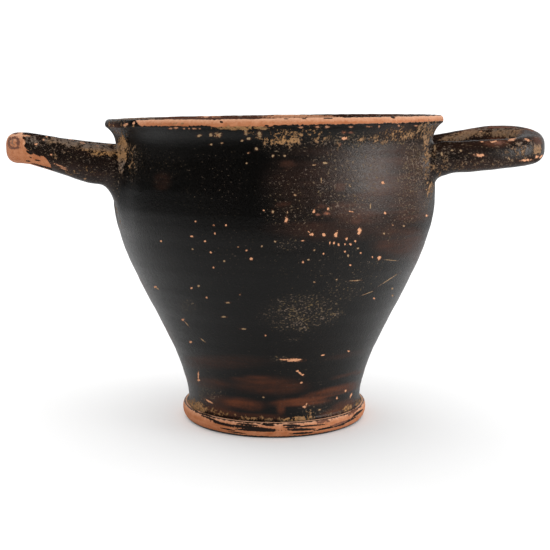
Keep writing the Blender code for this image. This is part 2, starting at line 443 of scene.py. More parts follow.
on_handle = past_wall(points) > JOINT_STANDS_OUT
crossing = on_handle[edges[:, 0]] != on_handle[edges[:, 1]]
high_enough = points[edges[:, 0], 2] > BELLY_LEVEL - NECK_HEIGHT
off_lip = points[edges[:, 0], 2] < LIP_UNDERSIDE - FLARE_HEIGHT * 0.5
seam = np.unique(edges[crossing & high_enough & off_lip])
seam_tree = KDTree(len(seam))
for index in seam:
    seam_tree.insert(points[index], int(index))
seam_tree.balance()
softness = np.zeros(len(points))
near = np.flatnonzero(
    (points[:, 2] > BELLY_LEVEL - NECK_HEIGHT * 1.5)
    & (np.abs(points[:, 0]) > ROOTS_BEYOND_X)
    & (np.abs(points[:, 1]) < ROOTS_WITHIN_Y)
)
root_middle = FLARE_BASE - HANDLES["left"]["drops"][0]
for index in near:
    _, _, apart = seam_tree.find(points[index])
    low = eased((root_middle - points[index, 2]) / SMOOTH_CHANGE)
    softness[index] = eased(1 - apart / between((SMOOTH_REACH_ABOVE, SMOOTH_REACH_BELOW), low))
softness[past_wall(points) < -WALL / 2] = 0
neighbours = np.bincount(edges.ravel(), minlength=len(points))
for _ in range(SMOOTH_PASSES):
    total = np.zeros_like(points)
    np.add.at(total, edges[:, 0], points[edges[:, 1]])
    np.add.at(total, edges[:, 1], points[edges[:, 0]])
    points += (total / neighbours[:, None] - points) * (softness * SMOOTH_STEP)[:, None]
mesh.vertices.foreach_set("co", points.astype(np.float32).ravel())
mesh.update()


# Relief
#
# The clay keeps the wheel's faint rings on the wall, and the unevenness of the potter's hands, most of all on
# the handles. Each ring has a spacing, a depth and how far it wanders round the cup.

WHEEL_RINGS = ((0.0073, 0.000030, 1.1), (0.0041, 0.000018, 0.7), (0.0150, 0.000050, 0.4))
RING_TURN = 900
CUP_UNEVEN = 0.00010
HANDLE_UNEVEN = 0.00022
LIP_UNEVEN = 0.00012
CUP_LUMP = 0.03
HANDLE_LUMP = 0.011
LIP_LUMP = 0.004
CLEAR_OF_WALL = 0.0006
RINGS_START = 0.002
RINGS_FADE = 0.004


def read_normals():
    return read(mesh.vertex_normals, "vector", 3).astype(float)


def lumps(points, wavelength, octaves=2):
    """Smooth noise about zero at each point."""
    return np.array([
        noise.fractal(Vector(point) / wavelength, 1.0, 2.0, octaves, noise_basis="PERLIN_ORIGINAL")
        for point in points
    ])


def move(distance):
    """Moves every point of the cup's mesh along its normal."""
    global points
    points = points + read_normals() * distance[:, None]
    mesh.vertices.foreach_set("co", points.astype(np.float32).ravel())
    mesh.update()


heading = np.arctan2(points[:, 1], points[:, 0])
height = points[:, 2] - sag(points[:, 0], points[:, 1], points[:, 2])
out_of_wall = past_wall(points)
by_roots = (points[:, 2] > BELLY_LEVEL - NECK_HEIGHT) & (height < LIP_UNDERSIDE)
on_handle = (out_of_wall > CLEAR_OF_WALL) & by_roots
rings = sum(
    depth * np.sin(math.tau * height / spacing + wander * np.sin(heading + spacing * RING_TURN))
    for spacing, depth, wander in WHEEL_RINGS
)
above_foot = eased((height - LEDGE_LEVEL - RINGS_START) / RINGS_FADE)
lip_share = eased((height - LIP_UNDERSIDE) / LIP_FACE * 2)
cup_uneven = CUP_UNEVEN * above_foot * lumps(points, CUP_LUMP)
lip_uneven = LIP_UNEVEN * lip_share * lumps(points, LIP_LUMP)
handle_uneven = HANDLE_UNEVEN * lumps(points, HANDLE_LUMP, 3)
move(np.where(on_handle, handle_uneven, rings * above_foot + cup_uneven + lip_uneven))


# Wear
#
# The slip is worn off the lip, the left handle's end and the foot, brown in bands, and chipped all over, and
# soil clings in the corners. Some marks are painted light: grey soil on the tops and pale flecks round the
# highlight and on the right edge are partly painted sheen, the handles' tops are painted browner as light
# from above, and a thin line of slip at the foot is a painted contact shadow. Each row places one mark that
# the
# photograph shows: pixels across and down, half width and half height in pixels, degrees that it leans, and
# its strength or tone.

BROWN = 0.15
ORANGE = 0.55
TAN = 1.0
RUST = 0.36
BLACK = 0.0
MARK_FADE = 1.5
SQUARE_ENOUGH = 0.35
ROOT_FADE = 0.004
BAND_FLATNESS = 3.5
BAND_LUMP = 0.05
BAND_MOST = 0.4
HANDLE_BROWN = 0.07
# The handles' tops are painted browner where they face up: painted light from above.
HANDLE_TOP_PAINTED_LIGHT = 0.12
LIP_INSIDE_BROWN = 0.55
SOIL_LUMP = 0.02
ROOT_SOIL = 0.7
GROOVE_SOIL = 0.5
BOWL_SOIL = 0.5
GREY_LEAST = 0.1
# Grey of the soil on the far lip's top: painted sheen.
FAR_LIP_SHEEN_GREY = 0.8
FLECK_LUMP = 0.035
FLECKS_BEHIND = (0.1, 0.5)
HANDLE_FLECKS = 0.54
LEFT_FLECKS = 0.10
RIGHT_FLECKS = 0.20
ROOT_SOIL_REACH = 0.006
LIP_SOIL_BELOW = 0.003
LIP_SOIL_REACH = 0.005
GROOVE_SOIL_REACH = 0.0022

BROWN_BANDS = [
    (330, 175, 45, 28, 0, 0.1), (395, 180, 35, 50, 0, 0.2), (357, 214, 30, 9, 4, 0.42),
    (357, 218, 8, 5, 0, 0.62), (405, 214, 26, 9, 4, 0.28), (340, 187, 6, 4, 0, 0.4),
    (300, 205, 26, 20, 0, 0.06), (340, 228, 60, 12, 0, 0.12), (400, 240, 26, 16, 0, 0.2),
    (268, 385, 34, 8, 2, 0.2), (252, 378, 18, 1.4, 0, 0.34), (272, 383, 28, 2, 3, 0.32),
    (262, 389, 20, 1.6, 4, 0.26), (220, 362, 45, 6, 0, 0.16), (350, 374, 16, 1.2, -13, 0.32),
    (331, 392, 34, 4, -15, 0.62), (300, 402, 26, 3.6, -3, 0.62), (242, 403.5, 20, 4.5, 5, 0.6),
    (252, 408, 10, 3, 0, 0.4), (220, 402, 18, 6, 8, 0.24), (281, 407, 4, 7, 0, 0.5),
    (346, 355, 20, 2.4, -10, 0.12), (210, 383, 22, 5, 6, 0.16), (345, 404, 12, 4, -18, 0.3),
    (162, 181, 8, 8, 0, 0.1), (288, 165, 8, 4, 0, 0.3), (283, 205, 7, 1.6, 0, 0.34),
    (322, 207, 5, 3, 0, 0.45), (370, 196, 22, 5, 0, 0.24), (398, 208, 14, 6, 0, 0.25),
    (525, 132, 15, 4, 10, 1), (538, 139, 5, 9, 0, 1), (497, 143, 12, 4, 0, 1),
    (500, 126.5, 36, 1.8, 0, 1), (316, 182, 44, 32, 0, 0.09), (350, 207, 20, 6, 0, 0.44),
    (480, 165, 50, 9, 0, 0.14), (65, 165, 50, 8, 14, 0.12), (112, 130, 8, 10, 0, 0.5),
    (222, 412, 24, 4, 14, 0.42), (258, 416.5, 26, 3, 3, 0.36), (340, 410, 20, 4, -18, 0.4),
    (468, 131, 10, 2.6, -10, 1), (455, 148, 50, 5, 0, 0.1), (175, 117.3, 50, 1.6, 0, 0.85),
]
# Soil. Rows on the handles' tops are partly painted sheen: soil, and a painted reflection.
SOIL_AND_SHEEN_PATCHES = [
    (282, 138, 24, 9, 0, 0.62), (284, 140, 22, 4, 0, 0.8), (314, 135, 18, 9, 0, 0.5),
    (250, 131, 9, 7, 0, 0.4), (243, 128, 30, 2.2, 0, 0.9), (335, 147, 10, 6, 0, 0.5),
    (372, 140, 20, 5, 0, 0.45), (405, 134, 26, 8, 0, 0.52), (425, 130, 12, 9, -20, 0.68),
    (433, 127, 5, 10, 40, 0.8), (426, 140, 4, 10, 0, 0.74), (426, 160, 3, 20, 2, 0.7),
    (430, 160, 8, 26, 0, 0.42), (430, 190, 5, 12, 0, 0.62), (444, 150, 10, 12, 0, 0.36),
    (440, 168, 8, 9, 0, 0.42), (122, 150, 5.5, 17, 0, 1), (121, 168, 3.5, 7, 0, 0.6),
    (111, 131, 5, 8, -30, 0.66), (131, 158, 5, 16, 0, 0.46), (109, 123, 4, 4, 0, 0.6),
    (122, 121, 14, 2, 0, 0.5), (128, 125, 12, 3, 0, 0.4), (197, 405, 14, 5, 30, 0.85),
    (222, 413, 20, 2.2, 14, 0.7), (255, 418.6, 24, 1.8, 5, 0.75), (296, 418.8, 20, 2.6, -3, 0.85),
    (347, 408.4, 6, 3.4, -25, 1), (330, 415, 16, 2, -14, 0.62), (358, 402, 6, 3, -50, 0.8),
    (309, 415, 4, 5, 0, 0.5), (84, 145, 38, 4.8, 8, 0.95), (104, 152.6, 15, 3.8, 2, 1),
    (60, 141, 16, 4.4, 8, 0.8), (90, 166, 9, 6, 30, 0.26), (73, 173, 4, 2, 10, 0.66),
    (56, 156, 5, 4, 0, 0.58), (112, 146, 9, 8, 0, 0.8), (72, 172, 18, 3, 16, 0.4),
    (468, 134.5, 22, 5, -8, 0.95), (508, 133.5, 24, 5, 0, 0.9), (456, 138, 18, 4, -5, 0.9),
    (466, 164, 26, 7, -5, 0.34), (537, 149, 5, 6, 0, 0.95), (528, 132, 14, 4, 14, 0.85),
    (520, 149, 15, 11, 0, 0.5), (511, 152, 6, 5, 20, 0.5), (524, 154, 8, 5, 0, 0.44),
    (500, 163, 16, 4, 0, 0.3), (36, 140, 14, 6, 10, 0.62), (13.6, 143, 4, 4, 0, 0.6),
    (525, 146, 12, 8, 0, 0.48), (60, 149, 14, 4, 8, 0.5), (490, 129, 40, 2, 0, 0.72),
    (190, 123.6, 34, 1.6, 0, 0.34), (108, 127, 3, 6, -30, 0.8),
]
# Grey tone for the soil. On the handles' tops, the right edge and the shoulder it is partly painted sheen.
GREY_SOIL_AND_SHEEN = [
    (84, 143.6, 38, 4.6, 8, 1), (60, 148, 16, 6, 0, 0.8), (490, 128, 44, 3, 0, 0.9),
    (34, 140, 14, 8, 10, 1), (13.6, 143, 6, 6, 0, 1), (530, 138, 14, 10, 0, 1),
    (490, 142, 60, 30, 0, 0.5), (426, 155, 12, 40, 0, 0.3), (468, 134, 24, 4, -8, 0.35),
    (121, 166, 6, 7, 0, 0.8), (205, 393, 16, 9, 0, 1), (330, 418, 20, 5, -14, 0.8),
    (445, 147, 12, 6, 0, 0.8), (128, 120, 22, 3, 0, 0.8), (350, 150, 60, 10, 0, 0.4),
]
FAR_LIP_BARE = [
    (300, 116.6, 44, 1.9, 0, 1), (210, 116.9, 16, 0.9, 0, 0.8), (392, 116.2, 22, 0.7, 0, 0.7),
]
FAR_LIP_BROWN = [
    (190, 117.5, 40, 2.4, 0, 1), (240, 117.5, 24, 2, 0, 0.6), (380, 116.2, 60, 1.4, 0, 0.55),
]
# Grey soil on the far lip's top plane: a painted reflection of its sheen.
FAR_LIP_PAINTED_SHEEN = [
    (130, 118.4, 30, 1.8, 0, 1), (240, 116, 30, 1.2, 0, 0.6), (390, 115.6, 60, 1.2, 0, 0.62),
]
# Pale flecks. Rows round the broad highlight and along the right edge are partly dust and partly painted
# sheen.
FLECKS_AND_SHEEN = [
    (302, 312, 40, 20, -6, 0.8), (297, 318, 12, 14, 0, 1), (293, 309, 5, 3, 0, 1.2),
    (335, 314, 8, 3, -8, 1.15), (303, 329, 7, 2.5, 0, 1.1), (295, 339, 8, 2, 0, 0.9),
    (188, 306, 10, 7, 0, 0.62), (207, 394, 15, 10, 0, 0.75), (280, 359, 10, 3, 0, 0.9),
    (300, 200, 40, 40, 0, 0.5), (285, 185, 20, 25, 0, 0.48), (350, 180, 46, 46, 0, 0.7),
    (290, 245, 16, 8, 0, 0.62), (380, 270, 50, 16, 0, 0.42), (330, 260, 40, 30, 0, 0.36),
    (240, 250, 50, 30, 0, 0.22), (412, 190, 24, 40, 0, 0.8), (416, 168, 16, 34, 0, 1),
    (134, 160, 9, 18, 0, 0.7), (365, 141, 64, 9, 0, 0.85), (345, 290, 26, 14, -12, 0.55),
    (160, 165, 40, 20, 0, 0.34), (215, 180, 40, 50, 0, 0.24), (318, 410, 22, 7, 0, 0.55),
    (285, 145, 26, 12, 0, 0.6), (115, 160, 10, 24, 0, 0.7), (400, 225, 30, 24, 0, 0.46),
    (205, 380, 16, 14, 0, 0.4), (428, 190, 7, 34, 0, 0.8), (132, 172, 10, 16, 0, 0.5),
    (432, 158, 10, 16, 0, 0.9), (450, 158, 22, 14, 0, 0.8), (480, 160, 60, 10, 0, 0.7),
    (40, 145, 18, 8, 20, 0.8),
]
CHIPS = [
    (359.7, 231.3, 2.2, 4, 10, ORANGE), (311.8, 234.6, 2.1, 1.9, 0, ORANGE),
    (309, 232, 2, 0.8, 45, ORANGE), (323.8, 234.8, 2, 1.9, 0, ORANGE),
    (336.2, 234.4, 1.8, 3.9, 22, ORANGE), (346.6, 238.6, 1.5, 2.3, 0, ORANGE),
    (286.3, 220.5, 1.9, 3.7, 5, ORANGE), (379.3, 258, 1.9, 2.5, 30, ORANGE),
    (383, 182.8, 1.8, 1.7, 0, ORANGE), (385, 213, 1.1, 1.8, 0, ORANGE), (314, 211, 1.4, 2.7, 15, ORANGE),
    (328.2, 209.3, 1.3, 1.9, 0, ORANGE), (426.8, 215.6, 1.7, 1.3, 0, ORANGE),
    (404, 226, 1.2, 1.1, 0, TAN), (384, 233.5, 1.3, 1.2, 0, TAN), (303, 262, 1.1, 1.7, -15, ORANGE),
    (350.2, 265.3, 1.3, 1.1, 0, ORANGE), (360.8, 253, 1.2, 1.1, 0, ORANGE),
    (323.6, 253.6, 1.2, 1, 0, ORANGE), (302.5, 240.8, 2.3, 0.8, 0, ORANGE),
    (329.9, 242.8, 0.9, 2.3, 0, ORANGE), (334, 243, 1.1, 1.5, 20, ORANGE),
    (338.5, 244.6, 1.2, 1.5, 0, ORANGE), (345, 244, 1.1, 1, 0, ORANGE),
    (350.8, 244.3, 1.5, 1.4, 0, ORANGE), (355.3, 241.2, 1.1, 1.2, 0, ORANGE),
    (345, 251.6, 1, 1, 0, ORANGE), (358, 248.3, 1.1, 1, 0, TAN), (348.2, 255.6, 1.1, 1.5, 0, TAN),
    (308.7, 259.8, 1.2, 1.1, 0, TAN), (314.3, 250.1, 1.4, 1.1, 0, TAN), (372.5, 257.2, 1.1, 1, 0, ORANGE),
    (392.7, 225, 1.2, 1, 0, TAN), (295, 195, 1.7, 1.3, 0, TAN), (272.5, 212, 1.4, 1.9, 0, TAN),
    (287.5, 212.3, 0.9, 1.8, 0, TAN), (370.5, 206, 0.7, 3.1, 0, TAN), (351, 211.6, 3, 0.9, 10, ORANGE),
    (321.3, 180, 0.6, 3, 0, TAN), (349.8, 185.8, 2, 0.6, 45, TAN), (314, 165, 3, 0.8, -8, TAN),
    (325, 163, 2.8, 1.2, 0, TAN), (285, 156, 1.5, 1.1, 0, TAN), (273, 156, 1.4, 1.7, 0, TAN),
    (326.5, 213.5, 3.6, 2.3, 0, BROWN), (318, 214.5, 2.3, 1.5, 0, BROWN), (251, 259, 1.6, 1.5, 0, ORANGE),
    (263.6, 210.4, 1.2, 1, 0, ORANGE), (214, 225.3, 1.4, 1.2, 0, ORANGE),
    (226, 225.3, 1.3, 1.1, 0, ORANGE), (215, 233.2, 1.2, 1.2, 0, ORANGE),
    (195.4, 221.5, 1.1, 1, 0, ORANGE), (191.8, 236.4, 2, 0.9, 0, ORANGE), (205, 241.2, 1.3, 1, 0, ORANGE),
    (160.9, 241.3, 1.1, 1.1, 0, ORANGE), (192.4, 249.1, 1.1, 1, 0, TAN),
    (210.8, 252.4, 1.2, 1, 0, ORANGE), (238.2, 247, 1.2, 1, 0, TAN), (246.5, 250.3, 1.2, 1.1, 0, ORANGE),
    (261.8, 246.4, 1.1, 1.1, 0, TAN), (275.3, 241.5, 1.4, 1, 0, TAN), (224.3, 261, 1.2, 1, 0, TAN),
    (213.5, 267.6, 1.1, 1.1, 0, ORANGE), (155.5, 287, 1.5, 1.2, 0, ORANGE),
    (157.5, 288.5, 2, 0.6, 35, TAN), (198.5, 286, 1.2, 1.1, 0, TAN), (191.3, 288.2, 1.3, 1, 0, ORANGE),
    (206.7, 297.5, 1.2, 1.1, 0, ORANGE), (240, 294.5, 1.1, 1.1, 0, TAN), (336.7, 279.6, 1.2, 1, 0, TAN),
    (314.5, 282.1, 1.1, 1, 0, TAN), (355.5, 280.6, 5.5, 0.7, -3, TAN), (392.2, 288.5, 1.1, 1.1, 0, TAN),
    (392.5, 295.5, 1.1, 1.2, 0, TAN), (374.4, 298.5, 1.2, 1.1, 0, ORANGE),
    (227.8, 302.6, 2.5, 0.9, 0, TAN), (224.3, 316.8, 3, 1, 0, TAN), (183, 319.7, 1.4, 1.3, 0, ORANGE),
    (186.5, 323.5, 4, 0.5, 50, TAN), (190.5, 341.9, 2, 1.1, 30, ORANGE), (243.3, 328.9, 2.8, 0.8, 0, TAN),
    (265.5, 335.4, 1.2, 1.1, 0, ORANGE), (294, 360.1, 9, 1.7, 0, ORANGE), (284, 359.6, 5, 0.9, 0, ORANGE),
    (300, 373, 4, 1, 42, ORANGE), (302.8, 375, 1.6, 1.3, 0, ORANGE), (297.6, 371.2, 1.3, 1, 0, ORANGE),
    (323, 355.2, 2, 0.8, -10, ORANGE), (348.6, 351.2, 1.1, 1, 0, ORANGE),
    (301.4, 382.6, 1.6, 1, -20, ORANGE), (198.4, 374.8, 0.8, 5, 0, ORANGE),
    (198.6, 380.2, 1.6, 1.2, 0, ORANGE), (345.6, 391, 1, 1.7, 25, ORANGE),
    (351, 395.2, 0.9, 2.8, 25, ORANGE), (337, 398.4, 1.1, 1.6, 20, ORANGE),
    (304.5, 406.8, 2.6, 1.5, 0, ORANGE), (306.5, 404.5, 0.7, 2, 15, ORANGE),
    (319.6, 409.8, 1.9, 1, -25, TAN), (263.5, 397.3, 1.3, 1, 0, TAN), (208.6, 401, 5.2, 0.9, 30, ORANGE),
    (367, 293.5, 7.5, 0.4, -20, TAN), (389, 279.5, 13, 0.4, -33, TAN), (391, 260.2, 7, 0.4, 5, TAN),
    (202.5, 340, 3.4, 0.5, 38, TAN), (222, 143, 1.5, 1, 0, TAN), (211, 144.5, 1.8, 1, 0, TAN),
    (199, 135.5, 2.6, 1.3, -15, TAN), (211, 135, 1.9, 1.9, 0, TAN), (218, 135, 4.2, 2.4, 0, TAN),
    (242, 140.6, 2, 1.3, 0, TAN), (248.6, 138.8, 2.4, 1.5, 0, TAN), (246, 132, 2, 3.6, 0, TAN),
    (259.6, 134, 2.3, 3.4, 0, TAN), (256.5, 149, 2, 1.8, 0, TAN), (248.5, 153, 1.6, 1.2, 0, TAN),
    (246.6, 163.4, 1.1, 1, 0, TAN), (345, 138.6, 3.4, 1.5, 0, ORANGE), (344, 132.5, 2.4, 1.6, 0, BROWN),
    (351, 132.5, 2.6, 1.2, 0, BROWN), (340, 144.5, 1.4, 1.4, 0, BROWN), (170.5, 128.5, 2.4, 0.9, 0, RUST),
    (176.5, 128, 2.6, 1.3, 0, RUST), (184, 128.6, 1.4, 0.8, 0, RUST), (189, 128.6, 1.1, 0.7, 0, RUST),
    (194.5, 128.7, 2.5, 0.9, 0, RUST), (199.5, 128.8, 1.2, 0.7, 0, RUST), (301, 127.3, 2.6, 1, 0, RUST),
    (317, 127, 2.6, 1.3, 0, RUST), (327, 127, 3, 1.2, 0, RUST), (351, 127, 2.4, 1.1, 0, RUST),
    (369, 126.6, 2.8, 0.9, 0, RUST), (379, 126.4, 1.3, 1.1, 0, RUST), (399, 125.6, 1.4, 1.2, 0, RUST),
    (416.5, 125.8, 2.4, 1, 0, RUST), (125.5, 124.8, 2.6, 1.9, -20, ORANGE),
    (133.5, 123, 1.3, 2, 30, ORANGE), (221, 121.8, 2.4, 1.6, 5, BLACK), (267, 125.8, 2.8, 1, 0, BLACK),
    (286, 118.8, 3.2, 0.7, 0, BLACK), (304, 118.6, 2.8, 0.7, 0, BLACK), (328, 118.3, 5, 0.6, 0, BLACK),
    (393, 117.6, 3, 1, 10, BLACK),
]
FOOT_STREAKS = [
    (250, 427.4, 27, 1.8, 5, BLACK), (256, 430.4, 20, 1.2, 4, BLACK), (268, 424.8, 7, 1.5, 8, BLACK),
    (224, 424.4, 15, 1.6, 13, BLACK), (247, 424.6, 12, 0.9, 6, BLACK), (210, 418.6, 15, 1.3, 22, BLACK),
    (228, 429.4, 10, 0.8, 11, BLACK), (236, 432.4, 9, 0.7, 8, BLACK), (292, 425.6, 9, 1.6, 2, BLACK),
    (300, 429.6, 15, 1.3, -2, BLACK), (302, 433.2, 14, 1.1, -3, BLACK), (290, 427.6, 6, 0.9, 0, BLACK),
    (324, 421.4, 9, 2.3, -10, BROWN), (331, 427.2, 16, 1, -12, BLACK), (334, 431, 15, 0.8, -14, BLACK),
    (347, 421.5, 12, 1.2, -24, BLACK), (357, 413.6, 7, 1.3, -38, BLACK), (338, 424, 14, 1.4, -20, BROWN),
    (353, 411.6, 8, 2.2, -36, BROWN), (312, 425.6, 16, 0.8, -5, BLACK), (195, 409.8, 7, 0.9, 38, BLACK),
    (207, 415.2, 9, 0.9, 20, BLACK),
]
HANDLE_CHIPS = [
    (13.5, 137.8, 5, 1.7, -4, BROWN), (9, 142.6, 2, 6, 4, BROWN), (18.2, 143, 2, 6, -8, BROWN),
    (14, 148.2, 5, 1.7, 4, BROWN), (10.2, 139, 2.2, 1.9, -40, BROWN), (17.2, 139, 2.2, 1.8, 40, BROWN),
    (10.4, 147.2, 2.2, 1.9, 40, BROWN), (17.2, 147.4, 2.4, 1.9, -40, BROWN),
    (14, 133.2, 7, 1.4, -4, BROWN), (26, 135.8, 4.5, 1.5, 4, ORANGE), (24, 142.4, 1.4, 3, 20, ORANGE),
    (38, 165, 9, 0.9, 15, BLACK), (60, 165.8, 8, 0.9, 20, RUST), (64, 169, 5, 0.7, 20, RUST),
    (60, 171.6, 10, 1, 18, BLACK), (28, 161, 3, 0.9, 10, BLACK), (43, 166.6, 5, 1.3, 12, BLACK),
    (50, 168.6, 12, 1.3, 18, BLACK), (30, 152.8, 4, 1.6, 30, BLACK), (44, 140, 2.3, 1, 15, ORANGE),
    (36, 144.2, 1.7, 1.4, 0, ORANGE), (47, 136.8, 1.4, 1.1, 0, ORANGE), (71, 140, 2.8, 1, 8, ORANGE),
    (82, 142.8, 3, 1.2, 8, ORANGE), (97, 146, 2.4, 1.4, 10, RUST), (51, 154.6, 1.4, 1.4, 0, ORANGE),
    (85, 178.8, 1.5, 0.9, 0, TAN), (37, 160.2, 3.5, 0.9, 10, BLACK), (31, 157.6, 2, 0.8, 20, BLACK),
    (468.4, 130.4, 2.6, 1.1, -10, ORANGE), (481.8, 141.6, 2.4, 0.8, 0, ORANGE),
    (493.8, 141.6, 3.6, 1.1, -8, ORANGE), (512.4, 139, 5, 1.9, -16, ORANGE),
    (527.5, 139.6, 3.6, 1.4, 20, ORANGE), (479.5, 155.2, 6.6, 1.8, 5, ORANGE),
    (526, 160.3, 6.8, 1.3, -4, ORANGE), (537, 157, 2.6, 1.6, -50, ORANGE),
    (541, 156.6, 2.6, 1.2, -40, ORANGE), (498, 142.5, 7, 3, 0, BROWN), (470, 129.6, 10, 1.4, -8, BROWN),
    (500, 127.2, 22, 1.3, 0, BROWN), (530, 129.8, 9, 1.3, 14, BROWN), (509, 158.5, 2.2, 0.8, 60, TAN),
    (442, 154, 1.5, 2.5, -20, TAN), (452, 150.5, 1.6, 1.2, 0, TAN), (461, 150.6, 1.4, 1.2, 0, TAN),
    (435, 148, 1.6, 4, 0, TAN),
]

spot = picture(points)
normals = read_normals()
toward = np.array(EYE) - points
facing = np.einsum("ij,ij->i", normals, toward) > 0
outer = past_wall(points) > -WALL * 0.4
near_side = points[:, 1] < 0
left_side = points[:, 0] < 0
height = points[:, 2] - sag(points[:, 0], points[:, 1], points[:, 2])
radius = np.hypot(points[:, 0], points[:, 1])
on_left = on_handle & left_side
on_cup = ~on_handle


def away(places, across, down, half_width, half_height, lean):
    """How far places in the picture are from the middle of a mark, where 1 is its edge."""
    turned_by = math.radians(lean)
    x = places[:, 0] - across
    y = places[:, 1] - down
    along = x * math.cos(turned_by) + y * math.sin(turned_by)
    beside = y * math.cos(turned_by) - x * math.sin(turned_by)
    return np.hypot(along / half_width, beside / half_height)


def spread(field, where, rows):
    """Raises a field on the side that faces the picture, to each row's strength inside its outline."""
    for *outline, strength in rows:
        raised = strength * eased(MARK_FADE - away(spot, *outline))
        field[where] = np.maximum(field, raised)[where]


seen = facing & outer & (near_side | on_handle)
squareness = np.einsum("ij,ij->i", normals, toward) / np.linalg.norm(toward, axis=1)
seen_share = np.where(seen, eased(squareness / SQUARE_ENOUGH), 0)
from_wall = eased(out_of_wall / ROOT_FADE)
# How far each place faces up. The handles' tops are painted browner and bare clay paler by it: painted light
# from above.
painted_top_light = np.clip(normals[:, 2], 0, 1)
far_lip = facing & on_cup & ~near_side & (height > FLARE_BASE)

brown_behind = np.clip(lumps(points * (1, 1, BAND_FLATNESS), BAND_LUMP) * 0.5, 0, BAND_MOST)
brown = np.zeros(len(points))
spread(brown, seen, BROWN_BANDS)
brown = np.where(outer, between((brown_behind, brown), seen_share), 0)
handle_brown_and_top_light = (HANDLE_BROWN + HANDLE_TOP_PAINTED_LIGHT * painted_top_light) * from_wall
brown = np.maximum(brown, np.where(on_handle, handle_brown_and_top_light, 0))
brown[on_cup & (height > LIP_UNDERSIDE) & (radius < RIM_RADIUS - LIP_FACE * 0.5)] = LIP_INSIDE_BROWN
spread(brown, far_lip, FAR_LIP_BROWN)

from_joint = np.array([seam_tree.find(point)[2] for point in points])
rooted = np.clip(1 - from_joint / ROOT_SOIL_REACH, 0, 1)
under_lip = eased(1 - np.abs(height - LIP_UNDERSIDE + LIP_SOIL_BELOW) / LIP_SOIL_REACH)
under_lip = np.where(on_cup, under_lip * (0.35 + 0.8 * lumps(points, SOIL_LUMP)), 0)
soil_and_sheen = np.zeros(len(points))
spread(soil_and_sheen, seen, SOIL_AND_SHEEN_PATCHES)
soil_behind = np.maximum(rooted * ROOT_SOIL, under_lip)
soil_and_sheen = np.where(outer, between((soil_behind, soil_and_sheen), seen_share), 0)
in_groove = eased(1 - np.hypot(radius - WALL_FOOT_RADIUS, height - LEDGE_LEVEL) / GROOVE_SOIL_REACH)
soil_and_sheen = np.maximum(soil_and_sheen, in_groove * GROOVE_SOIL)
in_bowl = ~outer & (height < LIP_UNDERSIDE)
soil_and_sheen[in_bowl] = eased((FLOOR_LEVEL + FLOOR_BEND - height[in_bowl]) / FLOOR_BEND) * BOWL_SOIL
# The far lip's top gets grey soil as painted sheen.
spread(soil_and_sheen, far_lip, FAR_LIP_PAINTED_SHEEN)

grey_and_sheen = np.full(len(points), GREY_LEAST)
spread(grey_and_sheen, seen, GREY_SOIL_AND_SHEEN)
# The far lip's soil is painted grey: painted sheen.
grey_and_sheen[far_lip] = FAR_LIP_SHEEN_GREY

fleck_behind = np.clip(0.2 + 0.5 * lumps(points, FLECK_LUMP), *FLECKS_BEHIND)
fleck_and_sheen = np.where(on_handle, HANDLE_FLECKS, np.where(left_side, LEFT_FLECKS, RIGHT_FLECKS))
spread(fleck_and_sheen, seen, FLECKS_AND_SHEEN)
fleck_and_sheen = np.where(on_handle, fleck_and_sheen, between((fleck_behind, fleck_and_sheen), seen_share))

far_lip_bare = np.zeros(len(points))
spread(far_lip_bare, far_lip, FAR_LIP_BARE)

# The field for bare clay is the distance in from the edge of the worn place, in millimetres, and negative
# where the slip has stayed. On the lip, these values name pixels across and heights in metres.
MM = 1000
ALL_SLIP = -9.0
LIP_CROWN = 0.0011
CROWN_WORN = (262, 342)
TAN_RUN = (213, 272)
LIP_DARK_TO = 141
LIP_DARK_FADE = 12
LIP_DARK_RISE = 0.004
LIP_SLIP = 0.0005
LIP_SLIP_BEHIND = 0.0006
LIP_SLIP_VARIES = 0.0024
LIP_SLIP_LUMP = 0.03
LIP_WORN_FROM = LIP_UNDERSIDE - 0.002
FAR_LIP_KEEPS = 0.55


def in_run(run):
    return (spot[:, 0] > run[0]) & (spot[:, 0] < run[1])


lip_low = np.where(in_run(TAN_RUN), 0, LIP_SLIP)
lip_low = lip_low + eased((LIP_DARK_TO - spot[:, 0]) / LIP_DARK_FADE) * LIP_DARK_RISE
lip_low[~seen] = LIP_SLIP_BEHIND + LIP_SLIP_VARIES * eased(lumps(points[~seen], LIP_SLIP_LUMP) * 3)
lip_in = np.where(in_run(CROWN_WORN), LIP_CROWN * 2, LIP_CROWN)
lip_bare = np.minimum(height - LIP_UNDERSIDE - lip_low, radius - RIM_RADIUS + lip_in)
bare = np.full(len(points), ALL_SLIP)
bare = np.where(on_cup & (height > LIP_WORN_FROM) & (radius > NECK_RADIUS), lip_bare * MM, bare)
bare = np.where(far_lip, far_lip_bare - FAR_LIP_KEEPS, bare)

# On the left handle's end the edge of the worn place runs through these pixels, across and down.
MM_PER_PIXEL = 0.36
TIP_BARE_EDGE = [
    (22, 125), (23, 145), (28, 150), (36, 154.5), (45, 156.5), (48, 162), (52, 168), (56, 176), (60, 400),
]
ABOVE_PICTURE_EDGE = 100
EDGE_RAGGED = 1.2
EDGE_LUMP = 0.0035
END_BARE_FROM = 0.0887
END_BARE_UNDER = 0.012
END_RAGGED = 3
END_LUMP = 0.009
edge_across, edge_down = zip(*TIP_BARE_EDGE)
edge_at = np.interp(spot[:, 0], edge_across, edge_down, left=ABOVE_PICTURE_EDGE)
under_edge = (spot[:, 1] - edge_at) * MM_PER_PIXEL + EDGE_RAGGED * lumps(points, EDGE_LUMP, 3)
underneath = np.clip(-normals[:, 2] * 1.3 - 0.3, 0, 1)
end_bare = (END_BARE_UNDER * underneath - END_BARE_FROM - points[:, 0]) * MM
end_bare += END_RAGGED * lumps(points, END_LUMP, 3)
tip_bare = np.where(facing, np.clip(under_edge, ALL_SLIP, -ALL_SLIP), end_bare)
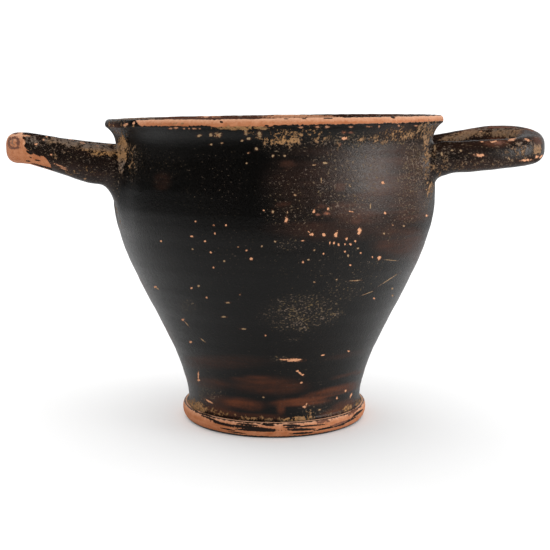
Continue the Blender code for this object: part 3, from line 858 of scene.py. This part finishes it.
bare = np.where(on_left, tip_bare, bare)

# The foot keeps its slip on the ledge above. A thin line of black slip kept next to the resting ring is a
# painted contact shadow.
FOOT_SLIP_TOP = 0.0001
# Height of the painted contact shadow: the black line of slip along the foot's lowest edge.
FOOT_PAINTED_CONTACT_SHADOW = 0.0007
UNDERSIDE_BARE = 0.002
FOOT_SPARE_ABOVE = 0.0002
FOOT_SPARE_ROUND = 0.001
foot_bare = np.where(radius > FOOT_BASE_RADIUS, FOOT_HEIGHT - height - FOOT_SLIP_TOP, UNDERSIDE_BARE)
at_side = radius > FOOT_BASE_RADIUS - FOOT_EASE
foot_bare = np.where(at_side, np.minimum(foot_bare, height - FOOT_PAINTED_CONTACT_SHADOW), foot_bare)
low_enough = height < FOOT_HEIGHT + FOOT_SPARE_ABOVE
on_foot = on_cup & low_enough & (radius < FOOT_RADIUS + FOOT_SPARE_ROUND)
bare = np.where(on_foot, foot_bare * MM, bare)

loop_vertex = read(mesh.loops, "vertex_index", kind=np.int32)
face_start = read(mesh.polygons, "loop_start", kind=np.int32)
face_size = read(mesh.polygons, "loop_total", kind=np.int32)
centres = read(mesh.polygons, "center", 3).astype(float)
face_tree = KDTree(len(centres))
for index, centre in enumerate(centres):
    face_tree.insert(centre, index)
face_tree.balance()
face_normals = np.array([polygon.normal for polygon in mesh.polygons])
surface = BVHTree.FromPolygons(points.tolist(), [list(polygon.vertices) for polygon in mesh.polygons])

# Each chip is written into the corners of the faces round it: the place in the mark's own units, and its
# tone. A chip of orange clay that is large enough is a shallow pit too.
CHIP_LAYERS = 3
NO_CHIP = 9.0
CHIP_NEAR = 2.5
SAME_SIDE = 0.2
PIT_DEPTH = 0.00016
PIT_EDGE = 1.3
PITTED_FROM = 1.2
MARK_SPARE = 1.3
FACE_SPARE = 0.0016
LEAST_SQUARE = 0.25
SMALL_STEP = 1e-5
chips = np.full((CHIP_LAYERS, len(mesh.loops), 3), NO_CHIP)
nearest = np.full((CHIP_LAYERS, len(mesh.polygons)), NO_CHIP)
pits = np.zeros(len(points))


def chip(centre, normal, to_mark, reach, tone, depth):
    """Writes a chip into the corners of the faces round it, in the layer with the most room for it.

    to_mark turns an offset from the centre, in metres, into the mark's own units, in which its edge is at 1.
    """
    found = np.array([index for _, index, _ in face_tree.find_range(centre, reach)], int)
    found = found[face_normals[found] @ normal > SAME_SIDE]
    if not len(found):
        return
    apart = np.linalg.norm((centres[found] - centre) @ to_mark.T, axis=1)
    taken = [(nearest[layer, found] < CHIP_NEAR).sum() for layer in range(CHIP_LAYERS)]
    layer = int(np.argmin(taken))
    closer = apart < nearest[layer, found]
    for face in found[closer]:
        corners = slice(face_start[face], face_start[face] + face_size[face])
        offsets = points[loop_vertex[corners]] - centre
        chips[layer, corners, :2] = offsets @ to_mark.T
        chips[layer, corners, 2] = tone
    nearest[layer, found[closer]] = apart[closer]
    around = np.unique(np.concatenate([
        loop_vertex[face_start[face]:face_start[face] + face_size[face]] for face in found
    ]))
    inside = np.linalg.norm((points[around] - centre) @ to_mark.T, axis=1)
    pits[around] = np.maximum(pits[around], depth * eased(PIT_EDGE - inside))


for across, down, half_width, half_height, lean, tone in CHIPS + FOOT_STREAKS + HANDLE_CHIPS:
    centre, normal, _, _ = surface.ray_cast(EYE, sight(across, down))
    if centre is None:
        print("chip misses the cup", across, down)
        continue
    centre = np.array(centre)
    nearby = picture(np.concatenate(([centre], centre + np.eye(3) * SMALL_STEP)))
    to_pixels = ((nearby[1:] - nearby[0]) / SMALL_STEP).T
    angle = math.radians(lean)
    turn = np.array([[math.cos(angle), math.sin(angle)], [-math.sin(angle), math.cos(angle)]])
    to_mark = (turn / [[half_width], [half_height]]) @ to_pixels
    faced = max(LEAST_SQUARE, -Vector(normal).dot(sight(across, down)))
    half_length = max(half_width, half_height) / np.linalg.norm(to_pixels, axis=1).max() / faced
    reach = half_length * MARK_SPARE + FACE_SPARE
    deep = PIT_DEPTH if tone == ORANGE and min(half_width, half_height) > PITTED_FROM else 0
    chip(centre, np.array(normal), to_mark, reach, tone, deep)

# The sides that the photograph doesn't show get small chips too, strewn at random.
HIDDEN_SEED = 7
HIDDEN_CHIPS = 240
HIDDEN_SIZE = 0.0003
HIDDEN_REACH = 2.5
LARGE_FACE = 1.6e-6
NEARLY_LEVEL = 0.3
random = np.random.default_rng(HIDDEN_SEED)
placed = 0
for face in random.permutation(len(centres)):
    if placed == HIDDEN_CHIPS:
        break
    centre = centres[face]
    normal = face_normals[face]
    if normal @ (np.array(EYE) - centre) > 0 and centre[1] < 0:
        continue
    if mesh.polygons[int(face)].area < random.random() * LARGE_FACE:
        continue
    across = np.cross((0, 0, 1), normal)
    if np.linalg.norm(across) < NEARLY_LEVEL:
        across = np.cross((0, 1, 0), normal)
    across /= np.linalg.norm(across)
    up = np.cross(normal, across)
    size = HIDDEN_SIZE * math.exp(random.normal(0.35, 0.45))
    stretch = math.exp(random.normal(0, 0.35))
    to_mark = np.stack((across / (size * stretch), up / (size / stretch)))
    reach = size * HIDDEN_REACH + FACE_SPARE
    chip(centre, normal, to_mark, reach, random.choice([ORANGE, ORANGE, TAN]), 0)
    placed += 1

move(-pits)

fields = {"brown": brown, "soil_and_sheen": soil_and_sheen, "grey_and_sheen": grey_and_sheen, "fleck_and_sheen": fleck_and_sheen, "bare": bare, "painted_top_light": painted_top_light}
for name, field in fields.items():
    attribute = mesh.attributes.new(name, "FLOAT", "POINT")
    attribute.data.foreach_set("value", field.astype(np.float32))
for layer in range(CHIP_LAYERS):
    attribute = mesh.attributes.new(f"chip_{layer}", "FLOAT_VECTOR", "CORNER")
    attribute.data.foreach_set("vector", chips[layer].astype(np.float32).ravel())


# Finish
#
# A thin slip of fine clay, brushed on and fired to a satin black skin, and brown where it went on thin. Where
# it has worn or chipped off, the matt orange clay shows, and dry tan soil covers parts of both. Bare clay
# that faces up is painted paler, painted light from above, and grey soil and pale flecks are partly painted
# sheen.

SLIP_BLACK = (0.0016, 0.0014, 0.0011, 1)
SLIP_BROWN = (0.088, 0.023, 0.007, 1)
SLIP_LEFT = (0.012, 0.006, 0.004, 1)
RUST_BROWN = (0.045, 0.016, 0.007, 1)
# The paler clay painted on faces that look up is painted light from above.
CLAY_PAINTED_TOP_LIGHT = (0.60, 0.32, 0.195, 1)
CLAY_ORANGE = (0.45, 0.19, 0.093, 1)
CLAY_DEEP = (0.31, 0.10, 0.036, 1)
SOIL_OCHRE = (0.34, 0.175, 0.066, 1)
# Grey of dust and soil; on the tops it is also painted sheen.
DUST_AND_SHEEN_GREY = (0.16, 0.115, 0.086, 1)
FLECK_TAN = (0.28, 0.185, 0.10, 1)
OLIVE = (0.13, 0.088, 0.040, 1)
CHIP_BROWN = (0.13, 0.052, 0.032, 1)
CHIP_ORANGE = (0.56, 0.27, 0.145, 1)
SLIP_SPECULAR = 0.17
SLIP_ROUGHNESS = 0.34
CLAY_ROUGHNESS = 0.85
SOIL_ROUGHNESS = 0.95
RELIEF_DEPTH = 0.0002


class Signal:
    """The output of a shader node. Sums and products of signals and numbers add their own Math nodes."""

    tree = None

    def __init__(self, socket):
        self.socket = socket

    @classmethod
    def node(cls, kind, sockets, output=0, stops=(), **settings):
        made = cls.tree.nodes.new("ShaderNode" + kind)
        for name, value in settings.items():
            setattr(made, name, value)
        for index, (position, colour) in enumerate(stops):
            ramp = made.color_ramp.elements
            stop = ramp[index] if index < 2 else ramp.new(position)
            stop.position = position
            stop.color = colour
        for name, value in sockets.items():
            if isinstance(value, Signal):
                cls.tree.links.new(value.socket, made.inputs[name])
            else:
                made.inputs[name].default_value = value
        return cls(made.outputs[output])

    def maths(self, operation, *others):
        return Signal.node("Math", dict(enumerate((self, *others))), operation=operation)

    def __add__(self, other):
        return self.maths("ADD", other)

    def __mul__(self, other):
        return self.maths("MULTIPLY", other)

    def __sub__(self, other):
        return self.maths("SUBTRACT", other)

    def __rsub__(self, other):
        return self * -1 + other

    __radd__ = __add__
    __rmul__ = __mul__

    def held(self):
        """Held within 0 and 1."""
        return Signal.node("Clamp", {"Value": self})

    def most(self, other):
        return self.maths("MAXIMUM", other)


def mixed(share, first, second):
    """A colour between two, by a share."""
    return Signal.node("Mix", {"Factor": share, 6: first, 7: second}, output=2, data_type="RGBA")


def grain(size, stretch=(1, 1, 1), detail=2.0):
    """Noise from 0 to 1 whose lumps are about size metres across, drawn out where stretch is under 1."""
    scaled = Signal.node("VectorMath", {0: place, 1: tuple(v / size for v in stretch)}, operation="MULTIPLY")
    found = Signal.node("TexNoise", {"Vector": scaled, "Scale": 1.0, "Detail": detail})
    return ((found - 0.5) * 2.4 + 0.5).held()


def painted(name):
    return Signal.node("Attribute", {}, output="Fac", attribute_name=name)


def covering(field, speckle, sharpness):
    """Where a share of the surface is covered, in patches that follow the speckle."""
    return ((field + speckle - 1) * sharpness).held()


clay = bpy.data.materials.new("black_gloss_clay")
clay.use_nodes = True
Signal.tree = clay.node_tree
place = Signal.node("TexCoord", {}, output="Object")

fine = grain(0.00035)
small = grain(0.0009)
medium = grain(0.0025)
broad = grain(0.011, stretch=(0.5, 0.5, 1))
streak = grain(0.0014, stretch=(0.08, 0.08, 1))
long_streak = grain(0.0035, stretch=(0.08, 0.08, 1))

thin = painted("brown") * (streak * 0.8 + long_streak * 0.9 + medium * 0.35 + small * 0.5 - 0.1)
thin = (thin * (0.62 + broad * 0.76)).held()
slip = mixed(thin, SLIP_BLACK, SLIP_BROWN)

speck = grain(0.0005, stretch=(0.6, 0.6, 1), detail=3.0)
# Pale flecks: dust, and round the highlight and on the right edge partly painted sheen.
flecks_and_sheen = covering(painted("fleck_and_sheen") * 0.5, speck, 4) * (0.2 + small * 0.9)
slip = mixed((painted("fleck_and_sheen") * (fine - 0.25) * 0.14).held(), slip, DUST_AND_SHEEN_GREY)
slip = mixed(flecks_and_sheen, slip, mixed((medium * 1.4 - 0.2).held(), DUST_AND_SHEEN_GREY, OLIVE))

bare_edge = painted("bare") + (small - 0.5) * 0.4 + (medium - 0.5) * 0.3
bare_share = (bare_edge * 4).held()
clay_colour = mixed((medium * 0.5 + streak * 0.6).held(), CLAY_ORANGE, CLAY_DEEP)
# Bare clay that faces up is painted paler: painted light from above.
clay_colour = mixed((painted("painted_top_light") * 1.2 + small * 0.4 - 0.3).held(), clay_colour, CLAY_PAINTED_TOP_LIGHT)
colour = mixed(bare_share, slip, clay_colour)

chipped = bare_share * 0
chip_tone = ((BLACK, SLIP_LEFT), (TAN, FLECK_TAN), (BROWN, CHIP_BROWN), (ORANGE, CHIP_ORANGE))
for layer in range(CHIP_LAYERS):
    mark = Signal.node("Attribute", {}, output="Vector", attribute_name=f"chip_{layer}")
    across = Signal.node("SeparateXYZ", {0: mark}, output="X")
    up = Signal.node("SeparateXYZ", {0: mark}, output="Y")
    tone = Signal.node("SeparateXYZ", {0: mark}, output="Z")
    distance = (across * across + up * up).maths("SQRT")
    slip_mark = 1 - (tone * 20).held()
    edge_noise = (small - 0.5) * (1 - slip_mark * 0.4) + (streak - 0.5) * slip_mark * 0.9
    halo = ((1.5 - distance - (small - 0.5) * 0.8) * 2).held() * (1 - bare_share) * 0.55
    colour = mixed(halo, colour, RUST_BROWN)
    ragged = edge_noise * 0.7 + (fine - 0.5) * (0.5 - slip_mark * 0.3)
    share = ((0.86 + slip_mark * 0.15 - distance - ragged) * 5).held()
    chip_colour = Signal.node("ValToRGB", {0: tone}, stops=chip_tone)
    chip_colour = mixed((small * 1.6 - 0.9).held() * (1 - slip_mark), chip_colour, CLAY_DEEP)
    colour = mixed(share, colour, chip_colour)
    chipped = chipped.most(share * (1 - slip_mark))

soil_and_sheen_speckle = (small * 0.4 + medium * 0.4 + fine * 0.2 - 0.5) * 1.7 + 0.5
# Soil, and on the tops grey soil that stands for sheen: a painted reflection.
soil_and_sheen_share = covering(painted("soil_and_sheen") * 0.95, soil_and_sheen_speckle.held(), 3.5)
soil_and_sheen_colour = mixed((painted("grey_and_sheen") + medium * 0.5 - 0.2).held(), SOIL_OCHRE, DUST_AND_SHEEN_GREY)
colour = mixed(soil_and_sheen_share * (0.55 + small * 0.45), colour, soil_and_sheen_colour)

loss = bare_share.most(chipped)
rough = SLIP_ROUGHNESS + small * 0.10 + thin * 0.18
rough = rough + (CLAY_ROUGHNESS - rough) * loss
rough = rough + (SOIL_ROUGHNESS - rough) * soil_and_sheen_share.most(flecks_and_sheen * 0.8)

grit = fine * 0.20 * (1 + loss * 0.5) + small * 0.13
relief = loss * -0.6 + soil_and_sheen_share * (0.5 + small * 0.9) + streak * 0.05 + grit

gloss = clay.node_tree.nodes["Principled BSDF"]
gloss.inputs["Specular IOR Level"].default_value = SLIP_SPECULAR
bump = Signal.node("Bump", {"Strength": 1.0, "Distance": RELIEF_DEPTH, "Height": relief})
for name, value in {"Base Color": colour, "Roughness": rough, "Normal": bump}.items():
    Signal.tree.links.new(value.socket, gloss.inputs[name])

cup.name = "skyphos_clay"
mesh.materials.clear()
mesh.materials.append(clay)
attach(cup, "root")
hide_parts("skyphos")


# Floor
#
# A sheet of white studio paper, laid flat under the cup. It ends short on the right and in front, so that the
# gloss low on the wall mirrors less of it.

FLOOR_LEFT = -0.45
FLOOR_RIGHT = 0.22
FLOOR_FRONT = -0.19
FLOOR_BACK = 0.48
PAPER_WHITE = (0.92, 0.92, 0.92, 1)
PAPER_ROUGHNESS = 0.9
PAPER_SPECULAR = 0.1

floor = mesh_object(
    "floor",
    [
        (FLOOR_LEFT, FLOOR_FRONT, 0),
        (FLOOR_RIGHT, FLOOR_FRONT, 0),
        (FLOOR_RIGHT, FLOOR_BACK, 0),
        (FLOOR_LEFT, FLOOR_BACK, 0),
    ],
    [(0, 1, 2, 3)],
)
paper = bpy.data.materials.new("white_paper")
paper.use_nodes = True
shader = paper.node_tree.nodes["Principled BSDF"]
shader.inputs["Base Color"].default_value = PAPER_WHITE
shader.inputs["Roughness"].default_value = PAPER_ROUGHNESS
shader.inputs["Specular IOR Level"].default_value = PAPER_SPECULAR
floor.data.materials.append(paper)


# Lights
#
# A white room lights everything evenly and doesn't show in the gloss. A softbox well round on the right makes
# the broad highlight, dim panels behind edge the cup with light, and two lamps lighten only the matt parts.

ROOM_WHITE = (1, 1, 1, 1)
ROOM_BRIGHTNESS = 1.23
WARM_WHITE = (1, 0.955, 0.925)
LAMPS = [
    dict(name="key", place=(0.94, -0.36, 0.26), aim=0.09, width=0.42, height=0.34, brightness=31.0),
    dict(name="side_lamp", place=(0.95, -0.30, 0.10), aim=0.09, width=0.5, height=0.2, brightness=15.0),
    dict(name="right_panel", place=(1.0, 1.0, 0.36), aim=0.08, width=1.0, height=1.15, brightness=1.0),
    dict(name="left_panel", place=(-1.0, 1.0, 0.35), aim=0.08, width=1.0, height=0.9, brightness=0.25),
    dict(name="fill", place=(-0.9, 1.0, 0.60), aim=0.05, width=0.9, height=0.9, brightness=1.4),
    dict(name="back_panel", place=(0, 1.3, 0.40), aim=0.11, width=1.4, height=0.5, brightness=1.2),
]


def softbox(name, place, aim, width, height, brightness):
    """A rectangular lamp turned to the cup's axis at the height aim, with a white surface's brightness."""
    lamp = bpy.data.lights.new(name, "AREA")
    lamp.shape = "RECTANGLE"
    lamp.size = width
    lamp.size_y = height
    lamp.energy = brightness * math.pi * width * height
    obj = bpy.data.objects.new(name, lamp)
    obj.location = place
    obj.rotation_euler = (Vector((0, 0, aim)) - Vector(place)).to_track_quat("-Z", "Y").to_euler()
    obj.visible_camera = False
    bpy.context.scene.collection.objects.link(obj)
    return obj


lamps = {lamp["name"]: softbox(**lamp) for lamp in LAMPS}
lamps["key"].data.color = WARM_WHITE
for name in ("key", "right_panel"):
    lamps[name].visible_diffuse = False
for name in ("side_lamp", "fill"):
    lamps[name].visible_glossy = False

room = bpy.data.worlds.new("white_room")
room.use_nodes = True
room.node_tree.nodes["Background"].inputs["Color"].default_value = ROOM_WHITE
room.node_tree.nodes["Background"].inputs["Strength"].default_value = ROOM_BRIGHTNESS
room.cycles_visibility.glossy = False
bpy.context.scene.world = room
bpy.context.scene.view_settings.view_transform = "Standard"
